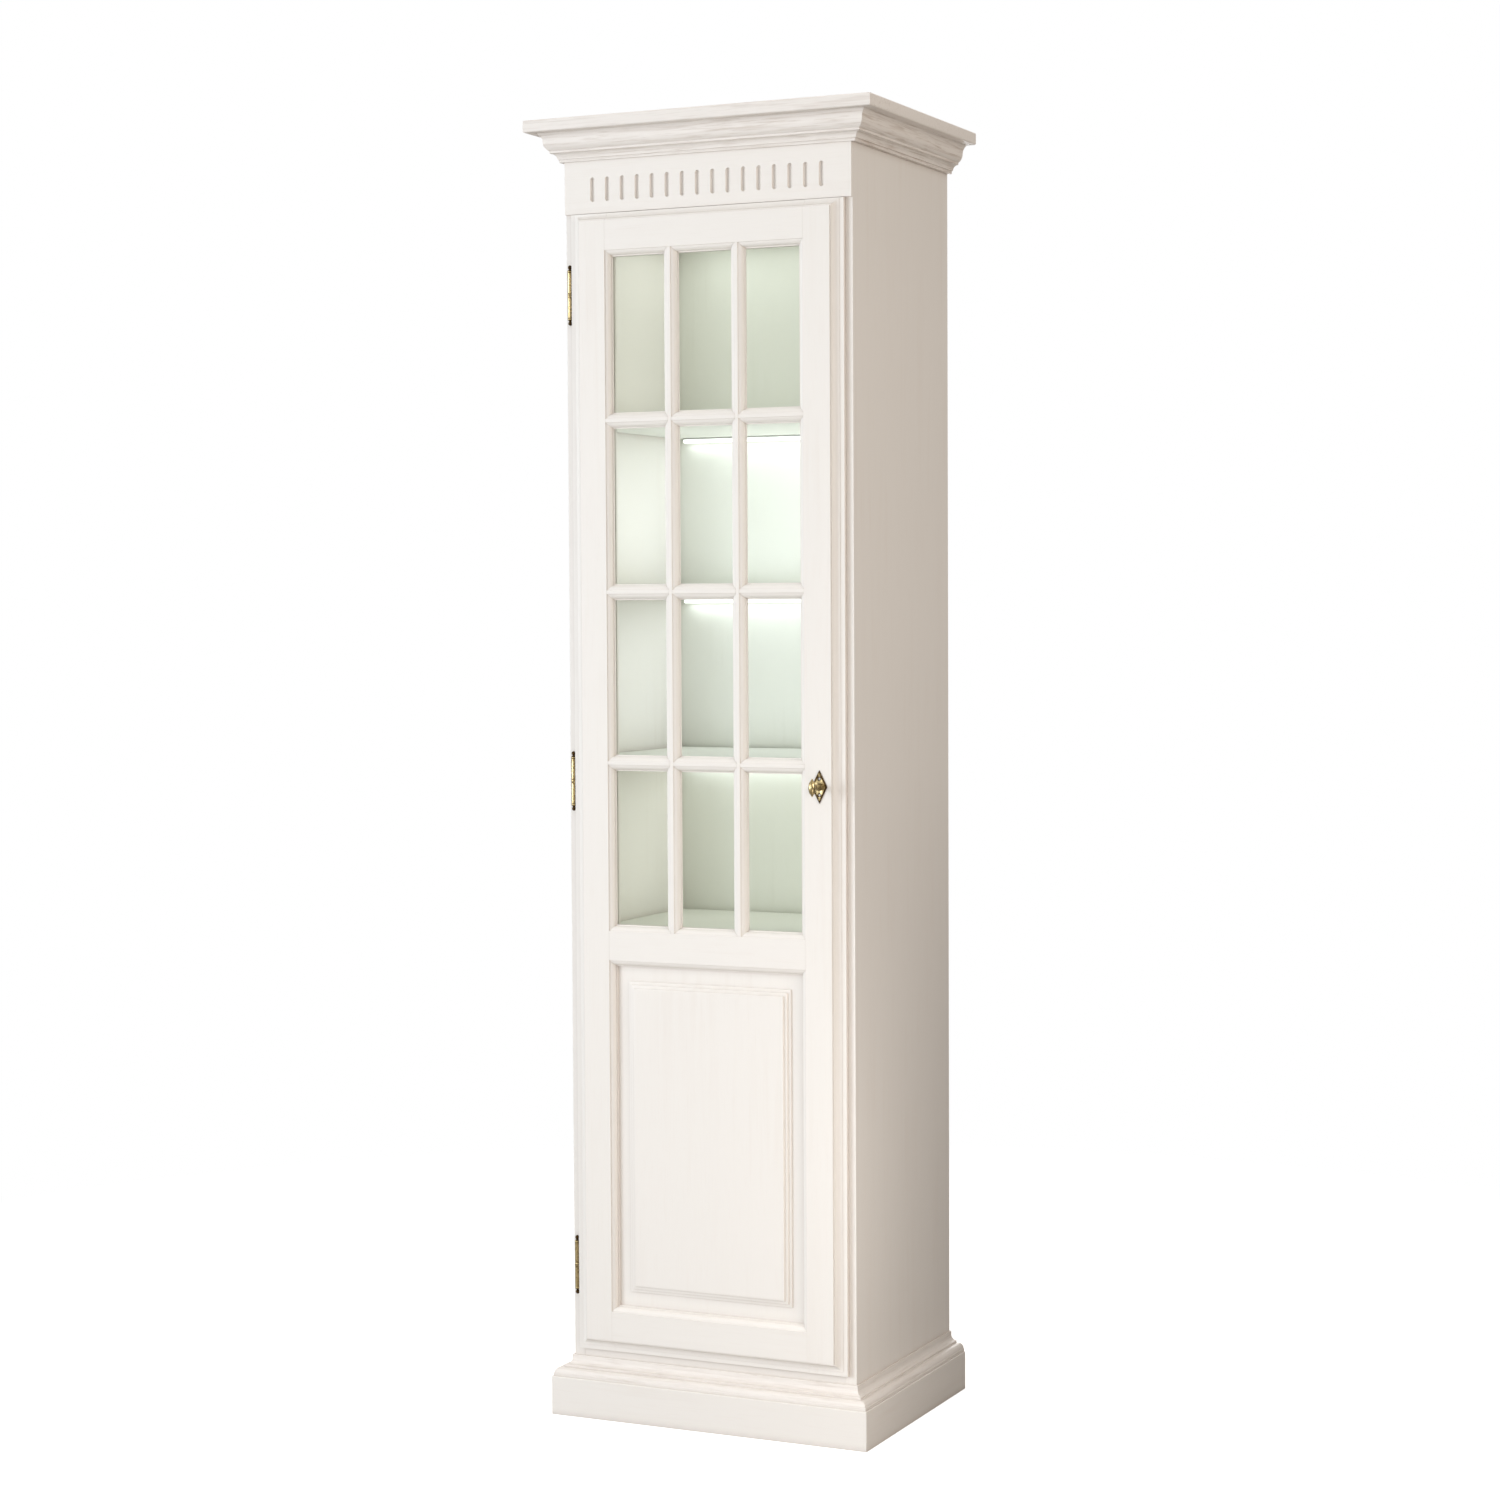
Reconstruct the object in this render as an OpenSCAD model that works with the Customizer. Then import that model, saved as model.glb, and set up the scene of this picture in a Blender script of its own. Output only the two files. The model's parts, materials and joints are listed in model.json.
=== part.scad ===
// Tall curio cabinet: a painted pine display case on a moulded plinth, under a deep cornice.
// One door covers the front. Its upper part is glazed in a grid of bars, its lower part is a
// raised panel. It swings on three finial hinges and closes with a turn knob and cam.
//
// Axes: +X to the right, -Y to the front, +Z up. The origin is on the floor, at the centre of the
// cornice's plan. All sizes are in millimetres.

/* [Overall] */
// Height from the floor to the top of the cornice
height = 2050; // [2000:10:2100]
// Width of the carcass, without mouldings
body_w = 490; // [480:5:510]
// Depth of the carcass, without mouldings
body_d = 390; // [370:5:410]
// Thickness of the carcass boards
board_t = 18; // [18:1:20]
// Thickness of the back panel
back_t = 7; // [6:1:8]
// How far the back panel is set in from the rear edges
back_inset = 25; // [20:1:25]

/* [Cornice and frieze] */
// How far the cornice stands out at the front and sides
cornice_out = 50; // [46:1:54]
// Thickness of the cornice's top board
crown_t = 19; // [18:1:22]
// Height of the moulding under the top board
crown_moulding_h = 44; // [44:1:46]
// Height of the frieze between cornice and door
frieze_h = 82; // [76:1:90]
// How far the frieze stands proud of the carcass
frieze_out = 5; // [4:1:6]
// Thickness of the frieze board
frieze_t = 12; // [10:1:14]
// Number of flutes cut in the frieze
flute_count = 16; // [12:1:17]
// Distance between neighbouring flutes
flute_pitch = 26.1; // [24:0.1:27]
// Length of a flute
flute_len = 38; // [30:1:44]

/* [Plinth] */
// Height of the plinth boards
plinth_h = 62; // [56:1:70]
// How far the plinth stands out at the front and sides
plinth_out = 28; // [28:1:32]
// Height of the moulding on top of the plinth
cap_h = 32; // [32:1:34]

/* [Door] */
// Width of the door
door_w = 466; // [464:1:468]
// Thickness of the door
door_t = 22; // [22:0.5:23]
// How far the rebated part of the door reaches into the case
door_in = 5.5; // [5:0.5:6]
// Strip of plinth rail that shows under the door
door_sill = 13; // [10:1:18]
// Width of the coved moulding round the door's edge
edge_w = 19; // [19:0.5:20]
// Height that the top edge moulding loses where the door meets the frieze
top_trim = 7; // [5:1:8]
// Flat width of the door's stiles
stile_face = 44.5; // [42:0.5:47]
// Flat height of the door's rails
rail_face = 47; // [44:1:50]
// Height of the lower panel's opening
panel_open_h = 559; // [520:1:590]
// Width of the flat on a glazing bar
bar_face = 6; // [5:1:8]
// Columns of panes
pane_cols = 3; // [2:1:4]
// Rows of panes
pane_rows = 4; // [3:1:4]

/* [Inside] */
// Thickness of the shelves
shelf_t = 18; // [16:1:20]
// Depth of the shelves
shelf_d = 320; // [290:5:320]

/* [Hidden] */

$fn = 64;
eps = 0.01;

WHITE = [0.94, 0.92, 0.89];
INNER = [0.86, 0.89, 0.83];
BRASS = [0.52, 0.40, 0.20];
STEEL = [0.72, 0.73, 0.74];
GLASS = [0.80, 0.90, 0.88, 0.35];
LIGHT = [0.95, 1.00, 0.98];
PLASTIC = [0.90, 0.90, 0.88];

// Carcass planes. The cornice overhangs three sides, so its plan is centred on the origin.
half_w = body_w / 2;
inner_w = half_w - board_t;
front = (cornice_out - body_d) / 2;
back = (cornice_out + body_d) / 2;
inner_front = front + board_t;
inner_back = back - back_inset - back_t;

// Heights, from the top down and from the floor up
crown_z = height - crown_t;
moulding_z = crown_z - crown_moulding_h;
frieze_z = moulding_z - frieze_h;
cap_z = plinth_h;
cap_top = cap_z + cap_h;
door_gap = 1;
door_z0 = cap_top + door_sill;
door_z1 = frieze_z - door_gap;
door_lap = 8;
floor_top = door_z0 + door_lap;
ceiling = door_z1 - door_lap;

// Door planes. The door's rim overlays the carcass and is held just off it. Behind the rim a
// rebate lets the rest of the door into the opening.
rim_back = front - 0.5;
door_back = rim_back + door_in;
door_face = door_back - door_t;
half_door = door_w / 2;
rebate_play = 3;
edge_foot_w = 7;
edge_foot = door_in + 6.5;
edge_step = 0.8;
edge_cove_r = 10.5;
edge_cove_h = 7.5;
face_x = half_door - edge_w;
open_x = face_x - stile_face;

// Openings in the door, measured between the flat faces of its frame
panel_z0 = door_z0 + edge_w + rail_face;
panel_z1 = panel_z0 + panel_open_h;
glass_z0 = panel_z1 + rail_face;
glass_z1 = door_z1 - (edge_w - top_trim) - rail_face;

// Ovolo moulding round each opening: a quarter round, a fillet and the wall down to the glass
lip_w = 9.5;
lip_d = 12.5;
ovolo_r = 7.5;
ovolo_d = 9;

pane_w = (2 * open_x - (pane_cols - 1) * bar_face) / pane_cols;
pane_h = (glass_z1 - glass_z0 - (pane_rows - 1) * bar_face) / pane_rows;
glass_y = door_face + lip_d;
glass_t = 3;
rabbet_gap = 0.3;

// Raised field of the lower panel
panel_t = 9;
field_border_x = 20;
field_border_z = 23;
step_run = 5.2;
step_rise = 2.4;
step_slope = 0.6;
step_count = 3;

// Shelves stand level with the cross bars of the door.
shelf_back = inner_back - 3;
shelf_front = shelf_back - shelf_d;
shelf_play = 1;
middle_top = glass_z0 - 1;
middle_z = middle_top - board_t;
pin_r = 2.5;
pin_depth = 8;
pin_reach = 8;
pin_ys = [shelf_front + 40, shelf_back - 40];
tab_w = 10;
tab_t = 3;

// Lights: a bar at the back of each upper shelf and a round spot in the ceiling
bar_len = 420;
bar_w = 16;
bar_t = 2.5;
diffuser_h = 5.5;
spot_r = 32;
spot_h = 12;
lens_r = 26;

// Cable outlet low in the back panel
outlet_x = -150;
outlet_z = floor_top + 70;
outlet_r = 15;
grommet_r = 11;

// Hinges: a barrel in front of the carcass edge, beside the door edge
barrel_r = 3.7;
collar_r = 4;
hinge_gap = 0.3;
hinge_x = -(half_door + collar_r + hinge_gap);
hinge_y = front - collar_r - hinge_gap;
knuckle_len = 39;
knuckle_gap = 0.3;
hinge_pin_r = 2.5;
hinge_pin_len = 60;
stud_r = 2;
stud_start = 3;
stud_z = 20;
stud_in_frame = 30;
stud_in_door = 22;
hinge_inset = 125;
hinge_zs = [
    door_z1 - hinge_inset,
    (door_z0 + door_z1) / 2 + 8,
    door_z0 + hinge_inset + 8
];
fit_gap = 0.05;

// Turn knob and cam
knob_x = (open_x + face_x) / 2 + 2.5;
knob_z = (door_z0 + door_z1) / 2 + 8;
plate_w = 26;
plate_h = 51;
plate_t = 1.6;
olive_h = 28;
olive_r = 5.8;
olive_out = 28;
spindle_r = 3.5;
cam_gap = 3.4;
cam_t = 3;
cam_len = 28;
cam_w = 10;
lip_t = 1.6;
strike_h = 34;
strike_leg = 18;
strike_reach = 11;
screw_r = 1.4;
screw_len = 13;

// ---------- Shared shapes ----------

// Centre of the circle of radius r through a and b that lies on the right of the way from a to b
function arc_centre(a, b, r) =
    let (mid = (a + b) / 2, way = (b - a) / norm(b - a), half = norm(b - a) / 2)
    mid + sqrt(r * r - half * half) * [way[1], -way[0]];

// Same circle on the left of the way
function arc_centre_left(a, b, r) = arc_centre(b, a, r);

module box(lo, hi) {
    translate(lo) cube(hi - lo);
}

// Extrudes a section of (outwards, up) along the front of the carcass, mitred at both ends.
// inset is how far in front of the carcass the piece starts between its ends.
module front_run(out, z, h, inset = 0) {
    intersection() {
        translate([-half_w - out, front, z])
            mirror([0, 1, 0]) rotate([90, 0, 90]) linear_extrude(2 * (half_w + out)) children();
        translate([0, 0, z]) linear_extrude(h)
            polygon([
                [-half_w - out, front - out], [half_w + out, front - out], [half_w, front],
                [half_w, front - inset], [-half_w, front - inset], [-half_w, front]
            ]);
    }
}

// The same section along the right-hand side: mitred in front, square at the back
module side_run(out, z, h) {
    intersection() {
        translate([half_w, back, z])
            rotate([90, 0, 0]) linear_extrude(back - front + out) children();
        translate([0, 0, z]) linear_extrude(h)
            polygon([
                [half_w, front], [half_w + out, front - out], [half_w + out, back], [half_w, back]
            ]);
    }
}

module left_run(out, z, h) {
    mirror([1, 0, 0]) side_run(out, z, h) children();
}

// ---------- Carcass ----------

module pin_bores(x_in, zs) {
    for (z = zs, y = pin_ys)
        translate([x_in, y, z]) rotate([0, 90, 0])
            cylinder(r = pin_r + fit_gap, h = pin_depth + 0.5);
}

shelf_zs = [for (i = [1 : 3]) glass_z0 + i * (pane_h + bar_face) - bar_face / 2 - shelf_t / 2];
cupboard_z = (floor_top + middle_z) / 2 - shelf_t / 2;
all_shelf_zs = concat(shelf_zs, [cupboard_z]);
tab_stud_drop = tab_t + pin_r;
pin_zs = [for (z = all_shelf_zs) z - tab_stud_drop];

// A side panel on the right: notched at the top front for the frieze, bored for the shelf pins
module side_board() {
    difference() {
        box([inner_w, front, 0], [half_w, back, crown_z]);
        box([inner_w - 1, front - 1, frieze_z], [half_w + 1, front + frieze_t - frieze_out, crown_z + 1]);
        pin_bores(inner_w - 0.5 + eps, pin_zs);
    }
}

module left_side_panel() {
    color(WHITE) difference() {
        mirror([1, 0, 0]) side_board();
        for (z = hinge_zs)
            translate([hinge_x, front - 1, z - stud_z]) rotate([-90, 0, 0])
                cylinder(r = stud_r + fit_gap, h = stud_in_frame + 2);
    }
}

module right_side_panel() {
    color(WHITE) difference() {
        side_board();
        for (z = strike_screw_zs)
            translate([inner_w - 1, strike_screw_y, z]) rotate([0, 90, 0])
                cylinder(r = screw_r + fit_gap, h = screw_len + 1);
    }
}

module back_panel() {
    color(INNER) difference() {
        box([-inner_w, inner_back, floor_top], [inner_w, inner_back + back_t, ceiling]);
        translate([outlet_x, inner_back - 1, outlet_z]) rotate([-90, 0, 0])
            cylinder(r = outlet_r + fit_gap, h = back_t + 2);
    }
}

module inner_board(y0, z, y1) {
    box([-inner_w, y0, z], [inner_w, y1, z + board_t]);
}

module top_board() {
    color(INNER) inner_board(inner_front, ceiling, back);
}

module middle_board() {
    color(INNER) inner_board(inner_front, middle_z, inner_back);
}

module bottom_board() {
    color(INNER) inner_board(inner_front, floor_top - board_t, back);
}

module shelf(z) {
    color(INNER)
        box([-inner_w + shelf_play, shelf_front, z], [inner_w - shelf_play, shelf_back, z + shelf_t]);
}

module shelf_top() { shelf(shelf_zs[2]); }

module shelf_middle() { shelf(shelf_zs[1]); }

module shelf_bottom() { shelf(shelf_zs[0]); }

module shelf_cupboard() { shelf(cupboard_z); }

// A peg in the side panel with a flat tab that the shelf lies on
module shelf_pin(side, y, z) {
    mirror([side < 0 ? 1 : 0, 0, 0]) {
        translate([inner_w - 1, y, z - tab_stud_drop]) rotate([0, 90, 0])
            cylinder(r = pin_r, h = pin_depth + 1);
        box([inner_w - pin_reach, y - tab_w / 2, z - tab_t], [inner_w, y + tab_w / 2, z]);
        box([inner_w - 2, y - tab_w / 2, z - tab_stud_drop - 4], [inner_w, y + tab_w / 2, z - tab_t + eps]);
    }
}

module shelf_pins() {
    color(STEEL) for (side = [-1, 1], y = pin_ys, z = all_shelf_zs) shelf_pin(side, y, z);
}

module top_rail() {
    color(WHITE) difference() {
        box([-inner_w, front, ceiling], [inner_w, inner_front, crown_z]);
        box([-inner_w - 1, front - 1, frieze_z], [inner_w + 1, front + frieze_t - frieze_out, crown_z + 1]);
    }
}

module bottom_rail() {
    color(WHITE) box([-inner_w, front, 0], [inner_w, inner_front, floor_top]);
}

// ---------- Frieze, cornice and plinth ----------

flute_r = 4;
flute_depth = 4;
flute_z = frieze_z + frieze_h / 2 - 4;

// A round-bottomed groove with round ends
module flute(x) {
    straight = flute_len / 2 - flute_r;
    translate([x, front - frieze_out - flute_r + flute_depth, flute_z]) {
        translate([0, 0, -straight]) cylinder(r = flute_r, h = 2 * straight);
        for (z = [-straight, straight]) translate([0, 0, z]) sphere(r = flute_r);
    }
}

module frieze_board() {
    color(WHITE) difference() {
        box([-half_w, front - frieze_out, frieze_z], [half_w, front + frieze_t - frieze_out, crown_z]);
        for (i = [0 : flute_count - 1]) flute((i - (flute_count - 1) / 2) * flute_pitch);
    }
}

// Cornice section, from the bottom: fillet, cove, fillet, then a wave that swells and hollows
module cornice_section() {
    foot = 8;
    foot_h = 4.5;
    cove_r = 9.5;
    fillet = foot + 2 + cove_r;
    fillet_z = foot_h + cove_r;
    wave_low = [fillet + 0.5, fillet_z + 3.5];
    wave_high = [cornice_out - 16, crown_moulding_h];
    wave_mid = (wave_low + wave_high) / 2;
    wave_r = 16;
    difference() {
        union() {
            square([foot, foot_h + eps]);
            difference() {
                translate([0, foot_h]) square([fillet, cove_r]);
                translate([fillet, foot_h]) circle(r = cove_r);
            }
            translate([0, fillet_z - eps]) square([fillet, wave_low[1] - fillet_z + 2 * eps]);
            polygon([[0, wave_low[1]], wave_low, wave_mid, wave_high, [0, wave_high[1]]]);
            translate(arc_centre_left(wave_low, wave_mid, wave_r)) circle(r = wave_r);
        }
        translate(arc_centre(wave_mid, wave_high, wave_r)) circle(r = wave_r);
        translate([0, crown_moulding_h]) square([cornice_out, cornice_out]);
    }
}

module cornice_front() {
    color(WHITE) front_run(cornice_out, moulding_z, crown_moulding_h, frieze_out) cornice_section();
}

module cornice_right() {
    color(WHITE) side_run(cornice_out, moulding_z, crown_moulding_h) cornice_section();
}

module cornice_left() {
    color(WHITE) left_run(cornice_out, moulding_z, crown_moulding_h) cornice_section();
}

// Section of the top board across the cabinet, with the arris eased above and below
module crown_section(lo, hi, ease_lo) {
    e = 1.5;
    polygon([
        [lo + ease_lo * e, 0], [hi - e, 0], [hi, e], [hi, crown_t - e],
        [hi - e, crown_t], [lo + ease_lo * e, crown_t], [lo, crown_t - ease_lo * e], [lo, ease_lo * e]
    ]);
}

module cornice_top() {
    reach = half_w + cornice_out;
    deep = body_d + cornice_out;
    color(WHITE) translate([0, 0, crown_z]) intersection() {
        translate([0, back, 0]) rotate([90, 0, 0]) linear_extrude(deep) crown_section(-reach, reach, 1);
        translate([-reach, 0, 0]) mirror([0, 1, 0]) rotate([90, 0, 90])
            linear_extrude(2 * reach) crown_front_section();
    }
}

// The same board seen from the side: square at the back, eased in front
module crown_front_section() {
    e = 1.5;
    nose = cornice_out - front;
    polygon([[-back, 0], [nose - e, 0], [nose, e], [nose, crown_t - e], [nose - e, crown_t], [-back, crown_t]]);
}

// Plinth cap section, from the bottom: fillet, quarter round, fillet, cove and a top fillet
module cap_section() {
    fillet = plinth_out - 2;
    fillet_h = 5;
    round_r = 8.5;
    round_x = fillet - 1 - round_r;
    waist = round_x - 4;
    waist_z = fillet_h + round_r;
    cove_r = 9;
    cove_z = waist_z + 3.5;
    square([fillet, fillet_h]);
    translate([0, fillet_h - eps]) square([round_x, round_r + eps]);
    intersection() {
        translate([round_x, fillet_h]) circle(r = round_r);
        translate([round_x - eps, fillet_h - eps]) square([round_r + 1, round_r + 1]);
    }
    translate([0, waist_z - eps]) square([waist, cove_z - waist_z + eps]);
    difference() {
        translate([0, cove_z - eps]) square([waist, cap_h - cove_z + eps]);
        translate([waist, cove_z + cove_r]) circle(r = cove_r);
        translate([waist - cove_r, cove_z + cove_r]) square([cove_r + 1, cap_h]);
    }
}

module base_cap_front() {
    color(WHITE) front_run(plinth_out, cap_z, cap_h) cap_section();
}

module base_cap_right() {
    color(WHITE) side_run(plinth_out, cap_z, cap_h) cap_section();
}

module base_cap_left() {
    color(WHITE) left_run(plinth_out, cap_z, cap_h) cap_section();
}

module plinth_section() {
    e = 1;
    polygon([[0, 0], [plinth_out, 0], [plinth_out, plinth_h - e], [plinth_out - e, plinth_h], [0, plinth_h]]);
}

module plinth_front() {
    color(WHITE) front_run(plinth_out, 0, plinth_h) plinth_section();
}

module plinth_right() {
    color(WHITE) side_run(plinth_out, 0, plinth_h) plinth_section();
}

module plinth_left() {
    color(WHITE) left_run(plinth_out, 0, plinth_h) plinth_section();
}

module plinth_back() {
    color(INNER) box([-inner_w, back - board_t, 0], [inner_w, back, floor_top - board_t]);
}

// ---------- Lights and cable outlet ----------

spot_x = -120;
spot_y = 120;

module spot_housing() {
    color(STEEL) translate([spot_x, spot_y, ceiling - spot_h]) difference() {
        cylinder(r = spot_r, h = spot_h);
        translate([0, 0, -1]) cylinder(r = lens_r + fit_gap, h = 5);
    }
}

module spot_lens() {
    color(LIGHT) translate([spot_x, spot_y, ceiling - spot_h + 1]) cylinder(r = lens_r, h = 3);
}

light_y = shelf_back - bar_w / 2 - 2;

// A flat aluminium strip screwed under the back edge of a shelf
module light_bar(z) {
    color(STEEL)
        box([-bar_len / 2, light_y - bar_w / 2, z - bar_t], [bar_len / 2, light_y + bar_w / 2, z]);
}

// The opal cover under that strip, with its lower edges cut off at a slant
module diffuser(z) {
    half = bar_w / 2 - 0.5;
    slant = 2;
    color(LIGHT) translate([-bar_len / 2 + 1, light_y, z - bar_t])
        rotate([90, 0, 90]) linear_extrude(bar_len - 2)
            polygon([
                [-half, 0], [-half, slant - diffuser_h], [slant - half, -diffuser_h],
                [half - slant, -diffuser_h], [half, slant - diffuser_h], [half, 0]
            ]);
}

module light_bar_top() { light_bar(shelf_zs[2]); }

module light_bar_middle() { light_bar(shelf_zs[1]); }

module light_bar_bottom() { light_bar(shelf_zs[0]); }

module diffuser_top() { diffuser(shelf_zs[2]); }

module diffuser_middle() { diffuser(shelf_zs[1]); }

module diffuser_bottom() { diffuser(shelf_zs[0]); }

module cable_grommet() {
    color(PLASTIC) translate([outlet_x, inner_back, outlet_z]) rotate([-90, 0, 0]) difference() {
        union() {
            cylinder(r = outlet_r, h = back_t);
            translate([0, 0, -2]) cylinder(r = outlet_r + 4, h = 2);
        }
        translate([0, 0, -3]) cylinder(r = grommet_r, h = back_t + 4);
    }
}

// ---------- Hinges ----------

// A turned finial, with its neck at the origin and its ball above
module finial() {
    translate([0, 0, -eps]) cylinder(r = 2.4, h = 3);
    translate([0, 0, 5]) sphere(r = 3.4);
}

// One knuckle standing on the origin, bored from below for the pin, with its finial on top
module knuckle(bore_gap) {
    collar_h = 2.5;
    difference() {
        union() {
            cylinder(r = barrel_r, h = knuckle_len);
            for (z = [0, knuckle_len - collar_h]) translate([0, 0, z]) cylinder(r = collar_r, h = collar_h);
            translate([0, 0, knuckle_len]) finial();
        }
        translate([0, 0, -1]) cylinder(r = hinge_pin_r + bore_gap, h = hinge_pin_len / 2 + 2);
    }
}

// The lower half, screwed back into the front edge of the carcass
module hinge_frame(z) {
    color(BRASS) translate([hinge_x, hinge_y, z]) {
        translate([0, 0, -knuckle_gap / 2]) mirror([0, 0, 1]) knuckle(fit_gap);
        translate([0, stud_start, -stud_z]) rotate([-90, 0, 0])
            cylinder(r = stud_r, h = front + stud_in_frame - hinge_y - stud_start);
    }
}

// The upper half, screwed sideways into the edge of the door
module hinge_door(z) {
    color(BRASS) translate([hinge_x, hinge_y, z]) {
        translate([0, 0, knuckle_gap / 2]) knuckle(fit_gap);
        translate([stud_start, 0, stud_z]) rotate([0, 90, 0])
            cylinder(r = stud_r, h = -half_door + stud_in_door - hinge_x - stud_start);
    }
}

module hinge_frame_top() { hinge_frame(hinge_zs[0]); }

module hinge_frame_middle() { hinge_frame(hinge_zs[1]); }

module hinge_frame_bottom() { hinge_frame(hinge_zs[2]); }

module hinge_door_top() { hinge_door(hinge_zs[0]); }

module hinge_door_middle() { hinge_door(hinge_zs[1]); }

module hinge_door_bottom() { hinge_door(hinge_zs[2]); }

module hinge_pins() {
    color(STEEL) for (z = hinge_zs)
        translate([hinge_x, hinge_y, z - hinge_pin_len / 2]) cylinder(r = hinge_pin_r, h = hinge_pin_len);
}

// ---------- Door frame ----------

// What is cut from a door edge, in section: (in from the edge, forward from the door's back).
// The rim keeps a flat foot, a cove and a quirk. rebate_w is the width of the rebate behind it.
module edge_waste(extra, rebate_w) {
    cove_z = edge_foot + edge_step;
    difference() {
        translate([-extra, edge_foot]) square([edge_w + extra, door_t]);
        difference() {
            translate([edge_foot_w, 0]) square([edge_w, cove_z + edge_cove_h]);
            translate([edge_foot_w, cove_z + edge_cove_r]) circle(r = edge_cove_r);
        }
    }
    translate([-extra, -1]) square([rebate_w + extra, door_in + 1]);
}

// Plan section of the whole door, with both side edges coved
module door_plan() {
    difference() {
        translate([-half_door, 0]) square([door_w, door_t]);
        for (side = [0, 1]) mirror([side, 0])
            translate([-half_door, 0]) edge_waste(0.5, half_door - inner_w + rebate_play);
    }
}

// Upright section of the whole door: (height, forward), the top edge cut short
module door_upright() {
    difference() {
        translate([door_z0, 0]) square([door_z1 - door_z0, door_t]);
        translate([door_z0, 0]) edge_waste(0.5, door_lap + rebate_play);
        translate([door_z1 + top_trim, 0]) mirror([1, 0])
            edge_waste(0.5, top_trim + door_lap + rebate_play);
    }
}

// The door blank between two corners in X and Z, with the moulded outer edge
module door_blank(x0, z0, x1, z1) {
    intersection() {
        translate([0, door_back, 0]) mirror([0, 1, 0]) linear_extrude(door_z1 + 1) door_plan();
        translate([-half_door - 1, door_back, 0]) rotate([0, -90, 180])
            linear_extrude(door_w + 2) door_upright();
        box([x0, door_face - 1, z0], [x1, door_back + 1, z1]);
    }
}

// Section of the moulding inside an opening: (in from the opening's edge, back from the face)
module lip_section() {
    translate([0, ovolo_d]) square([lip_w, lip_d - ovolo_d]);
    intersection() {
        translate([0, ovolo_d]) circle(r = ovolo_r);
        square([ovolo_r + 1, ovolo_d + eps]);
    }
}

// A run of that moulding along +X that grows towards +Z, mitred at both ends
module lip(len) {
    intersection() {
        rotate([90, 0, 90]) linear_extrude(len) mirror([1, 0]) rotate(90) lip_section();
        translate([0, lip_d, 0]) rotate([90, 0, 0]) linear_extrude(lip_d)
            polygon([[0, 0], [len, 0], [len - lip_w, lip_w], [lip_w, lip_w]]);
    }
}

// The four runs round an opening from (x0, z0) to (x1, z1), each kept by the piece beside it
module lip_below(x0, z0, x1) {
    translate([x0, door_face, z0]) lip(x1 - x0);
}

module lip_above(x0, z1, x1) {
    translate([x1, door_face, z1]) rotate([0, 180, 0]) lip(x1 - x0);
}

module lip_right(x1, z0, z1) {
    translate([x1, door_face, z0]) rotate([0, -90, 0]) lip(z1 - z0);
}

module lip_left(x0, z0, z1) {
    translate([x0, door_face, z1]) rotate([0, 90, 0]) lip(z1 - z0);
}

function pane_x(col) = -open_x + col * (pane_w + bar_face);
function pane_z(row) = glass_z0 + row * (pane_h + bar_face);

module door_left_stile() {
    color(WHITE) difference() {
        union() {
            door_blank(-half_door, door_z0, -open_x, door_z1);
            lip_left(-open_x, panel_z0, panel_z1);
            for (row = [0 : pane_rows - 1]) lip_left(-open_x, pane_z(row), pane_z(row) + pane_h);
        }
        for (z = hinge_zs)
            translate([-half_door - 1, hinge_y, z + stud_z]) rotate([0, 90, 0])
                cylinder(r = stud_r + fit_gap, h = stud_in_door + 2);
    }
}

module door_right_stile() {
    color(WHITE) difference() {
        union() {
            door_blank(open_x, door_z0, half_door, door_z1);
            lip_right(open_x, panel_z0, panel_z1);
            for (row = [0 : pane_rows - 1]) lip_right(open_x, pane_z(row), pane_z(row) + pane_h);
        }
        translate([knob_x, door_face - 1, knob_z]) rotate([-90, 0, 0])
            cylinder(r = spindle_r + fit_gap, h = door_t + 2);
        for (z = plate_pin_zs)
            translate([knob_x, door_face - 1, z]) rotate([-90, 0, 0])
                cylinder(r = plate_pin_r + fit_gap, h = plate_pin_len + 1);
    }
}

module door_top_rail() {
    color(WHITE) {
        door_blank(-open_x, glass_z1, open_x, door_z1);
        for (col = [0 : pane_cols - 1]) lip_above(pane_x(col), glass_z1, pane_x(col) + pane_w);
    }
}

module door_middle_rail() {
    color(WHITE) {
        door_blank(-open_x, panel_z1, open_x, glass_z0);
        for (col = [0 : pane_cols - 1]) lip_below(pane_x(col), glass_z0, pane_x(col) + pane_w);
        lip_above(-open_x, panel_z1, open_x);
    }
}

module door_bottom_rail() {
    color(WHITE) {
        door_blank(-open_x, door_z0, open_x, panel_z0);
        lip_below(-open_x, panel_z0, open_x);
    }
}

// Section of the raised panel: (out from its middle, forward from its back). A flat border goes
// into the frame, and steps rise from it to the field.
function panel_half(half, border) =
    let (edge = half - rabbet_gap, reach = half - lip_w - border)
    concat(
        [[edge, 0], [edge, panel_t], [reach, panel_t]],
        [for (i = [0 : step_count - 1], top = [0, 1])
            [reach - (i + top) * step_run, panel_t + (i + 1) * step_rise + (i + top) * step_slope]]
    );

module panel_section(half, border) {
    right = panel_half(half, border);
    left = [for (i = [len(right) - 1 : -1 : 0]) [-right[i][0], right[i][1]]];
    polygon(concat(right, left));
}

module door_panel() {
    mid_z = (panel_z0 + panel_z1) / 2;
    tall = panel_open_h / 2;
    color(WHITE) translate([0, glass_y + panel_t, mid_z]) intersection() {
        translate([0, 0, -tall]) linear_extrude(2 * tall) mirror([0, 1])
            panel_section(open_x, field_border_x);
        translate([-open_x, 0, 0]) rotate([0, 90, 0]) linear_extrude(2 * open_x) mirror([0, 1])
            panel_section(tall, field_border_z);
    }
}

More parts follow.
